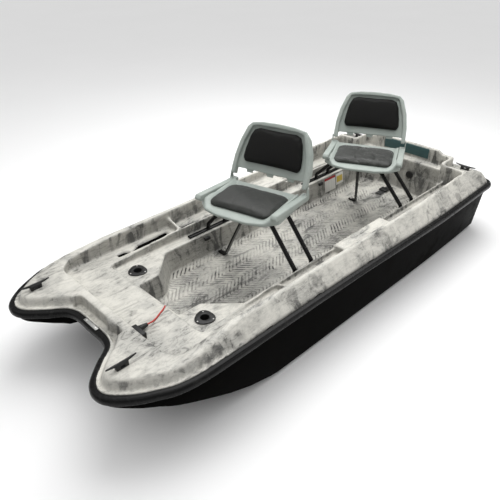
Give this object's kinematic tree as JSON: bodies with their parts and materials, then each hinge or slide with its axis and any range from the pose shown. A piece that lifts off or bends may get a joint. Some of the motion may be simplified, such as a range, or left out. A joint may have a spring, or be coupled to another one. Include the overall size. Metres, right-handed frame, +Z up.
{
  "type": "two-seat twin-hull fishing boat",
  "caption": "Small twin-hull fishing boat with a notched bow, marbled moulded deck, tube seat frames and folding swivel seats with padded backs.",
  "frame": {"origin": "on the floor under the middle of the boat, on its centre plane", "axes": "+Z up, the bow towards -Y, port towards +X"},
  "size_m": [1.334, 3.16, 1.0087],
  "materials": {
    "hull_black": "black moulded polyethylene with a low sheen",
    "deck_marble": "off-white moulded polyethylene with smoky grey streaks",
    "rail_black": "black extruded vinyl with a grey sheen",
    "nylon_black": "black glass-filled nylon",
    "seat_shell": "sage grey injection-moulded plastic",
    "vinyl_black": "black marine vinyl over foam",
    "frame_black": "semi-gloss black painted steel",
    "zinc": "zinc plated steel",
    "pad_teal": "dark teal rubber motor pad",
    "label_white": "blank white label",
    "label_yellow": "blank yellow label",
    "webbing_black": "black woven webbing",
    "wire_red": "red insulated wire"
  },
  "bodies": {
    "hull": {"hull_shell": "hull_black", "deck_liner": "deck_marble", "rub_rail": "rail_black", "bow_plate": "nylon_black", "bow_cleat_port": "nylon_black", "bow_cleat_starboard": "nylon_black", "stern_cleat_port": "nylon_black", "stern_cleat_starboard": "nylon_black", "rod_holder_port": "nylon_black", "rod_holder_starboard": "nylon_black", "cable_grommet": "nylon_black", "drain_plug": "nylon_black", "strap_buckle": "nylon_black", "bow_socket": "nylon_black", "bow_plug": "nylon_black", "front_ledge_clip": "nylon_black", "rear_ledge_clip": "nylon_black", "transom_pad": "pad_teal", "transom_outer_pad": "pad_teal", "battery_strap": "webbing_black", "capacity_plate": "label_white", "caution_plate": "label_yellow", "bow_lead": "wire_red", "front_frame_rail_port": "frame_black", "front_frame_rail_starboard": "frame_black", "front_frame_tube_fore": "frame_black", "front_frame_tube_aft": "frame_black", "front_frame_plate": "frame_black", "front_frame_leg": "frame_black", "rear_frame_rail_port": "frame_black", "rear_frame_rail_starboard": "frame_black", "rear_frame_tube_fore": "frame_black", "rear_frame_tube_aft": "frame_black", "rear_frame_plate": "frame_black", "rear_frame_leg": "frame_black"},
    "front_seat": {"front_swivel": "zinc", "front_seat_pan": "seat_shell", "front_seat_cushion": "vinyl_black"},
    "front_backrest": {"front_back_shell": "seat_shell", "front_back_cushion": "vinyl_black"},
    "rear_seat": {"rear_swivel": "zinc", "rear_seat_pan": "seat_shell", "rear_seat_cushion": "vinyl_black"},
    "rear_backrest": {"rear_back_shell": "seat_shell", "rear_back_cushion": "vinyl_black"}
  },
  "joints": [
    {"name": "front_seat_swivel", "type": "hinge", "parent": "hull", "child": "front_seat", "pos_m": [0, -0.245, 0.6173], "axis": [0, 0, 1], "continuous": true},
    {"name": "front_backrest_fold", "type": "hinge", "parent": "front_seat", "child": "front_backrest", "pos_m": [-0.03428, -0.11339, 0.7166], "axis": [0.9677, 0.2521, 0], "range_deg": [0, 102]},
    {"name": "rear_seat_swivel", "type": "hinge", "parent": "hull", "child": "rear_seat", "pos_m": [0, 0.835, 0.5893], "axis": [0, 0, 1], "continuous": true},
    {"name": "rear_backrest_fold", "type": "hinge", "parent": "rear_seat", "child": "rear_backrest", "pos_m": [-0.04587, 0.92273, 0.6886], "axis": [0.8862, 0.4633, 0], "range_deg": [0, 102]}
  ]
}
